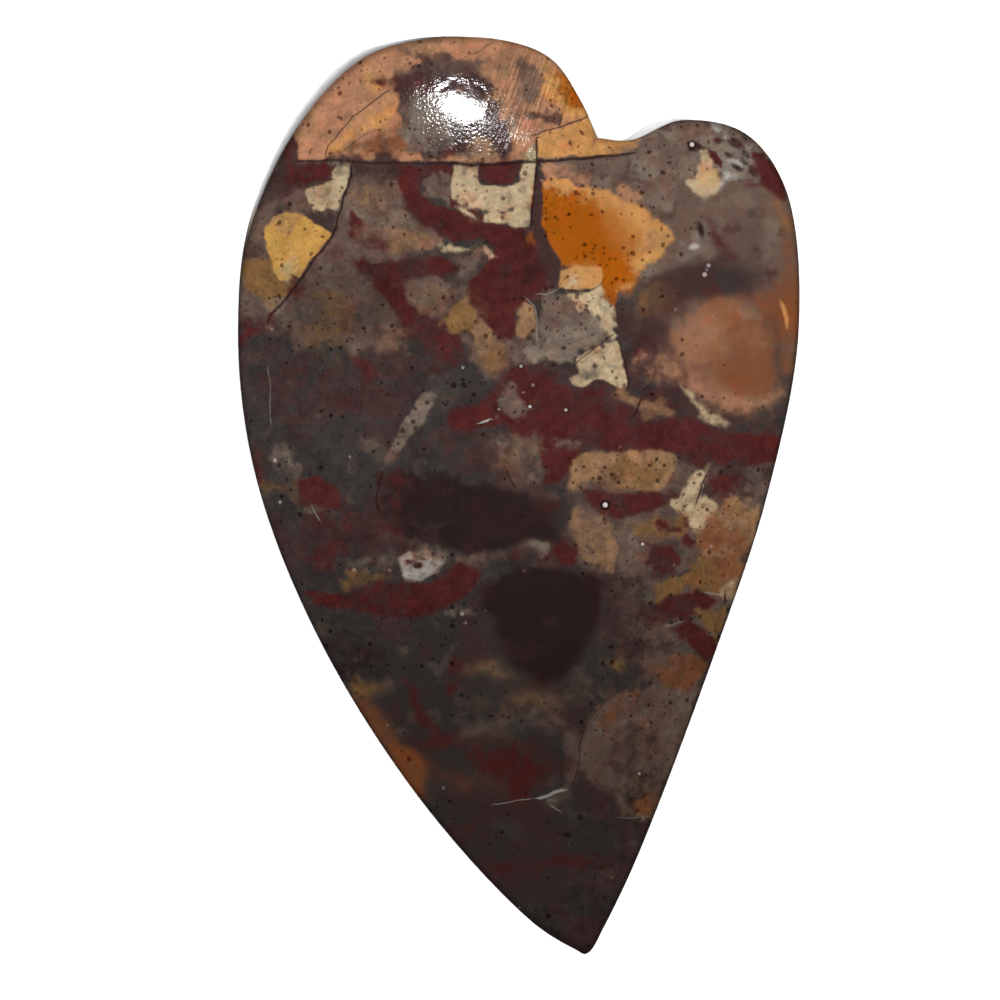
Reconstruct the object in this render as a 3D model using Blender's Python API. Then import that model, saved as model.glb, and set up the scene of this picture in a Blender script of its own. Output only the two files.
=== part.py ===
"""A heart-shaped cabochon of brecciated jasper: one polished stone, lying on its flat back.

The stone is a loft of rings. Every ring of the dome is drawn about one point inside the heart, and
follows the heart's outline at the rim and an oval near the top.
"""

import math

import bmesh
import bpy
from mathutils import Vector

MM = 0.001

# Size of the stone, in millimetres. The length is the heart's, from its lobes to its point.
LENGTH = 44.0
THICKNESS = 5.6

# The wall round the stone, in millimetres. It stands in a little at its foot, but flares out where
# it faces FLARE_DEGREES, counted anticlockwise from +X.
WALL_TOP = 2.2
WALL_FOOT = 0.7
FOOT_STEP_IN = 0.15
FOOT_FLARE = 0.5
FLARE_DEGREES = 132.0
FLARE_NARROWNESS = 5

# The ground edge between the wall's foot and the flat back, in millimetres
BACK_BEVEL_WIDTH = 0.45

# Heart outline seen from above, in millimetres, anticlockwise from the notch between the lobes.
# +Y runs from the point of the heart to its lobes. A smooth curve passes through these points.
NOTCH = (3.75, 17.15)
LEFT_LOBE = [(2.90, 19.00), (1.50, 20.95), (-0.90, 21.85), (-4.75, 21.82), (-7.50, 20.90)]
LEFT_SIDE = [(-10.60, 17.60), (-12.88, 12.60), (-13.42, 7.75), (-12.62, 1.20), (-9.70, -6.48)]
POINT = [(-4.70, -14.52), (0.68, -20.45), (2.78, -21.80), (3.15, -21.98), (3.45, -21.80), (4.05, -20.72)]
RIGHT_SIDE = [(5.63, -17.40), (9.34, -7.65), (11.90, 0.10), (13.39, 8.15)]
RIGHT_LOBE = [(12.72, 14.75), (10.75, 17.38), (7.80, 17.98), (5.35, 17.04)]

# The point that all rings are drawn about, and the half axes of the oval that they tend to
DOME_CENTRE = (0.0, 4.6)
OVAL_HALF_WIDTH = 12.6
OVAL_HALF_LENGTH = 16.8

# How fast the heart's outline fades into the oval on the way in from the rim, as a power: the notch
# between the lobes fades soon, and the point of the heart slowly
NOTCH_FADE = 2.4
POINT_FADE = 1.0

# The dome's height falls as 1 - s ** DOME_FLATNESS, s being 0 at its centre and 1 at the rim
DOME_FLATNESS = 2.8

STEPS_BETWEEN_POINTS = 5
DOME_RINGS = 15
SMOOTH_BELOW_DEGREES = 32.0

JASPER_BROWN = (0.085, 0.046, 0.037, 1.0)
POLISH_ROUGHNESS = 0.14


def spline_points(before, start, end, after, steps):
    """Points from start up to end on a centripetal Catmull-Rom curve."""
    knots = [0.0]
    for a, b in ((before, start), (start, end), (end, after)):
        knots.append(knots[-1] + math.sqrt((b - a).length))
    t0, t1, t2, t3 = knots
    found = []
    for k in range(steps):
        t = t1 + (t2 - t1) * k / steps
        a1 = before.lerp(start, (t - t0) / (t1 - t0))
        a2 = start.lerp(end, (t - t1) / (t2 - t1))
        a3 = end.lerp(after, (t - t2) / (t3 - t2))
        b1 = a1.lerp(a2, (t - t0) / (t2 - t0))
        b2 = a2.lerp(a3, (t - t1) / (t3 - t1))
        found.append(b1.lerp(b2, (t - t1) / (t2 - t1)))
    return found


def heart_outline(steps):
    """The outline as a closed list of points, LENGTH long, with its box centred on the origin."""
    anchors = [NOTCH, *LEFT_LOBE, *LEFT_SIDE, *POINT, *RIGHT_SIDE, *RIGHT_LOBE]
    anchors = [Vector(p) for p in anchors]
    points = []
    for i, start in enumerate(anchors):
        end = anchors[(i + 1) % len(anchors)]
        before = anchors[i - 1]
        after = anchors[(i + 2) % len(anchors)]
        # The notch is a corner, so neither side of it bends towards the other.
        if start is anchors[0]:
            before = start - (end - start)
        if end is anchors[0]:
            after = end + (end - start)
        points += spline_points(before, start, end, after, steps)
    low = Vector((min(p.x for p in points), min(p.y for p in points)))
    high = Vector((max(p.x for p in points), max(p.y for p in points)))
    scale = LENGTH / (high.y - low.y)
    return [(p - (low + high) / 2) * scale for p in points]


def foot_outline(outline):
    """The outline at the wall's foot: each point moves along its outward direction."""
    points = []
    for i, p in enumerate(outline):
        along = outline[(i + 1) % len(outline)] - outline[i - 1]
        outward = Vector((along.y, -along.x)).normalized()
        facing = math.atan2(outward.y, outward.x) - math.radians(FLARE_DEGREES)
        flare = FOOT_FLARE * max(0.0, math.cos(facing)) ** FLARE_NARROWNESS
        points.append(p + outward * (flare - FOOT_STEP_IN))
    return points


def drawn_in(outline, width):
    """The outline moved in by about this width, towards the dome's centre."""
    centre = Vector(DOME_CENTRE)
    return [p - (p - centre).normalized() * width for p in outline]


def dome_ring(outline, s):
    """The ring of the dome at share s of the way from its centre to the rim."""
    centre = Vector(DOME_CENTRE)
    points = []
    for p in outline:
        spoke = p - centre
        angle = math.atan2(spoke.y, spoke.x)
        across = OVAL_HALF_LENGTH * math.cos(angle)
        along = OVAL_HALF_WIDTH * math.sin(angle)
        oval = OVAL_HALF_WIDTH * OVAL_HALF_LENGTH / math.hypot(across, along)
        beyond_oval = spoke.length - oval
        fade = POINT_FADE if beyond_oval > 0 else NOTCH_FADE
        points.append(centre + spoke.normalized() * s * (oval + beyond_oval * s**fade))
    return points


def dome_height(s):
    return WALL_TOP + (THICKNESS - WALL_TOP) * (1 - s**DOME_FLATNESS)


def at_height(points, z):
    return [Vector((p.x, p.y, z)) for p in points]


def stone_rings(outline):
    """All rings, from the edge of the flat back up over the wall to just below the dome's top."""
    foot = foot_outline(outline)
    rings = [
        at_height(drawn_in(foot, BACK_BEVEL_WIDTH), 0.0),
        at_height(foot, WALL_FOOT),
        at_height(outline, WALL_TOP),
    ]
    for k in range(1, DOME_RINGS):
        # The rings crowd towards the rim, where the dome bends most.
        s = math.cos(math.pi / 2 * k / DOME_RINGS)
        rings.append(at_height(dome_ring(outline, s), dome_height(s)))
    return rings


def loft(name, rings, top):
    """A closed mesh through the rings, with a flat face below the first and a fan up to the top."""
    bm = bmesh.new()
    rows = [[bm.verts.new(p * MM) for p in points] for points in rings]
    count = len(rows[0])
    for low, high in zip(rows, rows[1:]):
        for i in range(count):
            j = (i + 1) % count
            bm.faces.new((low[i], low[j], high[j], high[i]))
    bm.faces.new(list(reversed(rows[0])))
    apex = bm.verts.new(top * MM)
    for i in range(count):
        bm.faces.new((rows[-1][i], rows[-1][(i + 1) % count], apex))
    mesh = bpy.data.meshes.new(name)
    bm.to_mesh(mesh)
    bm.free()
    return mesh


def jasper_material():
    material = bpy.data.materials.new("polished_jasper")
    material.use_nodes = True
    shader = material.node_tree.nodes["Principled BSDF"]
    shader.inputs["Base Color"].default_value = JASPER_BROWN
    shader.inputs["Roughness"].default_value = POLISH_ROUGHNESS
    shader.inputs["Metallic"].default_value = 0.0
    return material


def main():
    for obj in list(bpy.data.objects):
        bpy.data.objects.remove(obj)
    collection = bpy.data.collections.new("jasper_heart_cabochon")
    bpy.context.scene.collection.children.link(collection)

    outline = heart_outline(STEPS_BETWEEN_POINTS)
    top = Vector((*DOME_CENTRE, THICKNESS))
    mesh = loft("jasper_heart", stone_rings(outline), top)
    mesh.shade_smooth()
    mesh.set_sharp_from_angle(angle=math.radians(SMOOTH_BELOW_DEGREES))
    mesh.materials.append(jasper_material())
    stone = bpy.data.objects.new("jasper_heart", mesh)
    collection.objects.link(stone)


main()
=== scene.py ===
"""A polished heart of brecciated jasper on a pale floor, seen from almost straight above."""

import math

import bpy
import numpy as np
from mathutils import Matrix, Vector
from mathutils.geometry import delaunay_2d_cdt


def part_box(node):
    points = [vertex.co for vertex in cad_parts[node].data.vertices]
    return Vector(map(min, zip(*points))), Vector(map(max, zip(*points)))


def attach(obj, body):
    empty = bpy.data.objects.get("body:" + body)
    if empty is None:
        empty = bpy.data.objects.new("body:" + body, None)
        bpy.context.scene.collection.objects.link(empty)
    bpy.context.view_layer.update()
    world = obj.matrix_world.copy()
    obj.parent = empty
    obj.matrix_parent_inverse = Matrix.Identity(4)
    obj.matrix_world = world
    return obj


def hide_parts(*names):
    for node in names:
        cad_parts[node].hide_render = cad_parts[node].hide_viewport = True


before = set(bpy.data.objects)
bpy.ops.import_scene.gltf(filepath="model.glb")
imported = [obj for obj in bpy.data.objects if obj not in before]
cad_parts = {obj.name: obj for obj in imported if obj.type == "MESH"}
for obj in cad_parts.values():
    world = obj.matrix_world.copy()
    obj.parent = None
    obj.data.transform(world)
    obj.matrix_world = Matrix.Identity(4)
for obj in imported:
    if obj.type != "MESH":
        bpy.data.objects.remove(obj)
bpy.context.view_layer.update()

MM = 0.001

# The stone's size and the shape of its wall, in millimetres, as in the CAD part
LENGTH = 44.0
THICKNESS = 5.6
WALL_TOP = 2.2
WALL_FOOT = 0.7
FOOT_STEP_IN = 0.15
FOOT_FLARE = 0.5
FLARE_DEGREES = 132.0
FLARE_NARROWNESS = 5
BACK_BEVEL_WIDTH = 0.45

NOTCH = (3.75, 17.15)
LEFT_LOBE = [(2.90, 19.00), (1.50, 20.95), (-0.90, 21.85), (-4.75, 21.82), (-7.50, 20.90)]
LEFT_SIDE = [(-10.60, 17.60), (-12.88, 12.60), (-13.42, 7.75), (-12.62, 1.20), (-9.70, -6.48)]
POINT = [(-4.70, -14.52), (0.68, -20.45), (2.78, -21.80), (3.15, -21.98), (3.45, -21.80), (4.05, -20.72)]
RIGHT_SIDE = [(5.63, -17.40), (9.34, -7.65), (11.90, 0.10), (13.39, 8.15)]
RIGHT_LOBE = [(12.72, 14.75), (10.75, 17.38), (7.80, 17.98), (5.35, 17.04)]

DOME_CENTRE = np.array((0.0, 4.6))
OVAL_HALF_WIDTH = 12.6
OVAL_HALF_LENGTH = 16.8
NOTCH_FADE = 2.4
POINT_FADE = 1.0
DOME_FLATNESS = 2.8

# How finely the visual mesh is drawn. Spacings and heights are in millimetres, and the rings beside
# the rim are shares of the way to it.
STEPS_BETWEEN_POINTS = 44
DOME_SPACING = 0.118
BACK_SPACING = 0.26
RIM_SHARES = (0.995, 0.988)
WALL_HEIGHTS = (0.0, 0.12, 0.35, 0.7, 1.0, 1.3, 1.6, 1.9, 2.2)
SMOOTH_BELOW_DEGREES = 32.0

# A point's share is looked for between 0 and this, in halves of halves.
LARGEST_SHARE = 1.5
HALVINGS = 40

# Points closer than the first, in millimetres, are one triangle corner, and points of two shells that
# agree in this many decimals are one.
CLOSEST = 1e-6
SAME_DECIMALS = 4

# The markings are placed in the photograph's pixels, x to the right and y down.
PHOTO_MIDDLE = np.array((519.25, 497.5))
PIXELS_LONG = 921.0
MM_PER_PIXEL = LENGTH / PIXELS_LONG


# Shape


def spline_points(before, start, end, after, steps):
    """Points from start up to end on a centripetal Catmull-Rom curve."""
    corners = [np.array(p) for p in (before, start, end, after)]
    knots = [0.0]
    for a, b in zip(corners, corners[1:]):
        knots.append(knots[-1] + math.sqrt(np.linalg.norm(b - a)))
    t = np.linspace(knots[1], knots[2], steps, endpoint=False)[:, None]

    def between(a, b, i, j):
        return a + (b - a) * (t - knots[i]) / (knots[j] - knots[i])

    a1, a2, a3 = (between(corners[i], corners[i + 1], i, i + 1) for i in range(3))
    b1, b2 = between(a1, a2, 0, 2), between(a2, a3, 1, 3)
    return between(b1, b2, 1, 2)


def heart_outline():
    """The outline as a closed row of points, with its box centred on the origin."""
    anchors = [NOTCH, *LEFT_LOBE, *LEFT_SIDE, *POINT, *RIGHT_SIDE, *RIGHT_LOBE]
    anchors = [np.array(p) for p in anchors]
    stretches = []
    for i, start in enumerate(anchors):
        end = anchors[(i + 1) % len(anchors)]
        before = anchors[i - 1]
        after = anchors[(i + 2) % len(anchors)]
        # The notch is a corner, so neither side of it bends towards the other.
        if start is anchors[0]:
            before = start - (end - start)
        if end is anchors[0]:
            after = end + (end - start)
        stretches.append(spline_points(before, start, end, after, STEPS_BETWEEN_POINTS))
    points = np.concatenate(stretches)
    low, high = points.min(axis=0), points.max(axis=0)
    return (points - (low + high) / 2) * LENGTH / (high[1] - low[1])


def outward_of(outline):
    along = np.roll(outline, -1, axis=0) - np.roll(outline, 1, axis=0)
    outward = np.column_stack([along[:, 1], -along[:, 0]])
    return outward / np.linalg.norm(outward, axis=1, keepdims=True)


def foot_outline(outline):
    """The wall's foot, which is a little inside the outline and flares out on one side."""
    outward = outward_of(outline)
    facing = np.arctan2(outward[:, 1], outward[:, 0]) - math.radians(FLARE_DEGREES)
    flare = FOOT_FLARE * np.maximum(0.0, np.cos(facing)) ** FLARE_NARROWNESS
    return outline + outward * (flare - FOOT_STEP_IN)[:, None]


def drawn_in(outline, width):
    spoke = outline - DOME_CENTRE
    return outline - spoke / np.linalg.norm(spoke, axis=1, keepdims=True) * width


def bearings(points):
    """The angle and the distance of each point from the dome's centre."""
    spoke = points - DOME_CENTRE
    return np.arctan2(spoke[:, 1], spoke[:, 0]), np.linalg.norm(spoke, axis=1)


def oval_reach(angle):
    across = OVAL_HALF_LENGTH * np.cos(angle)
    along = OVAL_HALF_WIDTH * np.sin(angle)
    return OVAL_HALF_WIDTH * OVAL_HALF_LENGTH / np.hypot(across, along)


def ring_reach(share, oval, rim):
    """How far out a ring of the dome lies. Small rings are ovals, and the last one is the outline."""
    fade = np.where(rim > oval, POINT_FADE, NOTCH_FADE)
    return share * (oval + (rim - oval) * share**fade)


def dome_ring(outline, share):
    angle, rim = bearings(outline)
    reach = ring_reach(share, oval_reach(angle), rim)
    return DOME_CENTRE + (outline - DOME_CENTRE) / rim[:, None] * reach[:, None]


def dome_shares(points, outline):
    """How far each point is on its way from the dome's centre to the outline."""
    angle, length = bearings(points)
    rim = np.interp(angle, *bearings(outline), period=2 * math.pi)
    oval = oval_reach(angle)
    low, high = np.zeros(len(points)), np.full(len(points), LARGEST_SHARE)
    for _ in range(HALVINGS):
        middle = (low + high) / 2
        beyond = ring_reach(middle, oval, rim) > length
        high = np.where(beyond, middle, high)
        low = np.where(beyond, low, middle)
    return low


def dome_heights(shares):
    inner = np.clip(shares, 0.0, 1.0)
    return WALL_TOP + (THICKNESS - WALL_TOP) * (1 - inner**DOME_FLATNESS)


def grid_over(outline, spacing):
    """Points in rows like honeycomb over the outline's box."""
    low, high = outline.min(axis=0), outline.max(axis=0)
    rows = np.arange(low[1], high[1], spacing * math.sqrt(3) / 2)
    columns = np.arange(low[0], high[0], spacing)
    x, y = np.meshgrid(columns, rows)
    x[1::2] += spacing / 2
    return np.column_stack([x.ravel(), y.ravel()])


def triangles_inside(border, inner):
    """Triangles over the border's inside that use every given point."""
    count = len(border)
    edges = [(i, (i + 1) % count) for i in range(count)]
    points = [Vector(p) for p in np.concatenate([border, inner])]
    found = delaunay_2d_cdt(points, edges, [], 1, CLOSEST)
    return np.array([tuple(p) for p in found[0]]), np.array(found[2])


def dome_shell(outline):
    rings = [dome_ring(outline, share) for share in RIM_SHARES]
    grid = grid_over(outline, DOME_SPACING)
    inside = dome_shares(grid, outline) < RIM_SHARES[-1] - DOME_SPACING / OVAL_HALF_WIDTH / 2
    points, faces = triangles_inside(outline, np.concatenate([*rings, grid[inside]]))
    heights = dome_heights(dome_shares(points, outline))
    return np.column_stack([points, heights]), faces


def wall_shell(outline, foot, ground):
    """The wall from the ground edge over the foot to the outline at its top."""
    rings = []
    for height in WALL_HEIGHTS:
        if height < WALL_FOOT:
            ring = ground + (foot - ground) * height / WALL_FOOT
        else:
            ring = foot + (outline - foot) * (height - WALL_FOOT) / (WALL_TOP - WALL_FOOT)
        rings.append(np.column_stack([ring, np.full(len(ring), height)]))
    count = len(outline)
    faces = []
    for row in range(len(rings) - 1):
        here = row * count + np.arange(count)
        beside = row * count + (np.arange(count) + 1) % count
        faces.append(np.column_stack([here, beside, beside + count]))
        faces.append(np.column_stack([here, beside + count, here + count]))
    return np.concatenate(rings), np.concatenate(faces)


def back_shell(ground):
    grid = grid_over(ground, BACK_SPACING)
    inside = dome_shares(grid, ground) < 1 - BACK_SPACING / OVAL_HALF_WIDTH
    points, faces = triangles_inside(ground, grid[inside])
    return np.column_stack([points, np.zeros(len(points))]), faces[:, ::-1]


def stone_mesh():
    outline = heart_outline()
    foot = foot_outline(outline)
    ground = drawn_in(foot, BACK_BEVEL_WIDTH)
    return join([dome_shell(outline), wall_shell(outline, foot, ground), back_shell(ground)])


def join(shells):
    """One mesh of several shells, with the points that they share made one."""
    starts = np.cumsum([0] + [len(points) for points, _ in shells])
    points = np.concatenate([points for points, _ in shells])
    faces = np.concatenate([faces + start for (_, faces), start in zip(shells, starts)])
    rounded = np.round(points, SAME_DECIMALS)
    _, first, index = np.unique(rounded, axis=0, return_index=True, return_inverse=True)
    faces = index.reshape(-1)[faces]
    whole = (faces[:, 0] != faces[:, 1]) & (faces[:, 1] != faces[:, 2]) & (faces[:, 0] != faces[:, 2])
    return points[first], faces[whole]


# Markings

# A table of random numbers this long and wide makes each noise.
NOISE_TABLE = 97

# The layers of a cloud: (how many times finer, shift in mm, strength), and what their sum is divided by
CLOUD_LAYERS = ((1.0, 0.0, 1.0), (2.1, 3.1, 0.5), (4.3, 7.7, 0.25))
CLOUD_DIVISOR = 1.4


def cloud(points, cell, seed):
    """Smooth noise from -1 to 1 with lumps about one cell wide."""
    table = np.random.default_rng(seed).uniform(-1.0, 1.0, (NOISE_TABLE, NOISE_TABLE))
    place = points / cell
    corner = np.floor(place).astype(int)
    part = place - corner
    ease = part * part * (3 - 2 * part)
    x0, y0 = corner[:, 0] % NOISE_TABLE, corner[:, 1] % NOISE_TABLE
    x1, y1 = (x0 + 1) % NOISE_TABLE, (y0 + 1) % NOISE_TABLE
    low = table[x0, y0] * (1 - ease[:, 0]) + table[x1, y0] * ease[:, 0]
    high = table[x0, y1] * (1 - ease[:, 0]) + table[x1, y1] * ease[:, 0]
    return low * (1 - ease[:, 1]) + high * ease[:, 1]


def clouds(points, cell, seed):
    """Noise of three sizes, the largest about one cell wide."""
    total = 0.0
    for layer, (finer, shift, strength) in enumerate(CLOUD_LAYERS):
        total += strength * cloud(points + shift, cell / finer, seed + layer)
    return total / CLOUD_DIVISOR


def segment_distance(points, a, b):
    """Distance from each point to the straight line between a and b."""
    edge, offset = b - a, points - a
    along = np.clip(offset @ edge / (edge @ edge), 0.0, 1.0)
    return np.linalg.norm(offset - along[:, None] * edge, axis=1)


def signed_distance(points, outline):
    """Distance from each point to a closed outline, above 0 inside it."""
    nearest = np.full(len(points), np.inf)
    inside = np.zeros(len(points), bool)
    for a, b in zip(outline, np.roll(outline, -1, axis=0)):
        nearest = np.minimum(nearest, segment_distance(points, a, b))
        crosses = (a[1] > points[:, 1]) != (b[1] > points[:, 1])
        if a[1] != b[1]:
            at = a[0] + (points[:, 1] - a[1]) * (b[0] - a[0]) / (b[1] - a[1])
            inside ^= crosses & (points[:, 0] < at)
    return np.where(inside, nearest, -nearest)


def rise(value, low, high):
    """0 up to the low value, 1 from the high one, and smooth between them."""
    part = np.clip((value - low) / (high - low), 0.0, 1.0)
    return part * part * (3 - 2 * part)


def from_pixels(pixels):
    offset = (np.array(pixels, float) - PHOTO_MIDDLE) * MM_PER_PIXEL
    return offset * (1, -1)


def corners_of(numbers):
    return from_pixels(np.reshape(numbers, (-1, 2)))


def box_of_oval(oval):
    x, y, half_width, half_height, _ = oval
    reach = max(half_width, half_height)
    return corners_of((x - reach, y - reach, x + reach, y + reach))


def oval_distance(points, oval):
    """About the distance inside an oval, given as its middle, half axes and turn in degrees."""
    x, y, half_width, half_height, turn = oval
    offset = points - from_pixels((x, y))
    cosine, sine = math.cos(math.radians(turn)), math.sin(math.radians(turn))
    across = offset[:, 0] * cosine + offset[:, 1] * sine
    up = offset[:, 1] * cosine - offset[:, 0] * sine
    share = np.hypot(across / half_width, up / half_height) / MM_PER_PIXEL
    return (1 - share) * min(half_width, half_height) * MM_PER_PIXEL


# What the minerals look like in the upper, lighter half of the stone, as red, green and blue of 255,
# and how each leans on the three noises of the grain, which decide where it shows in a mixture
MINERALS = {
    "slate": ((59, 53, 51), (0, 0, 0)),
    "plum": ((68, 48, 47), (1, 0, 0)),
    "taupe": ((104, 83, 73), (0, 1, 0)),
    "mauve": ((124, 109, 96), (0, 0, 1)),
    "tan": ((178, 127, 96), (-1, 0, 0)),
    "sand": ((148, 112, 82), (0, -1, 0)),
    "ochre": ((124, 91, 56), (0, 0, -1)),
    "gold": ((188, 142, 74), (-1, 0, 1)),
    "orange": ((163, 85, 12), (0, 1, -1)),
    "peach": ((200, 143, 84), (0, -1, 1)),
    "cream": ((190, 167, 133), (-1, 1, 0)),
    "maroon": ((80, 36, 34), (1, 0, -1)),
    "dark": ((46, 34, 33), (1, -1, 0)),
    "amber": ((124, 77, 50), (-1, 0, -1)),
    "quartz": ((184, 178, 170), (-1, 1, 1)),
}

# How thickly the dark pepper dots lie in each mineral, as a share of all places for one
DOTTED = {
    "slate": 0.2, "taupe": 0.25, "mauve": 0.7, "tan": 0.22, "sand": 0.6, "ochre": 0.35, "gold": 0.3,
    "orange": 0.55, "peach": 0.3, "cream": 0.8,
}

# The stone darkens towards its point, partly in its own colour and partly as painted shade where the
# light falls off: how light it is at heights in the photograph, in pixels
TONE_AT = (0, 430, 520, 620, 700, 800, 960)
TONES_WITH_PAINTED_SHADE = (1.0, 1.0, 0.88, 0.7, 0.59, 0.54, 0.53)

# How a marking ends: the half width of its soft edge and how ragged it is, in millimetres
CRISP = (0.1, 0.06)
SMOOTH = (0.24, 0.08)
RAGGED = (0.26, 0.24)
SOFT = (0.5, 0.22)
HAZY = (1.0, 0.35)

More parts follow.
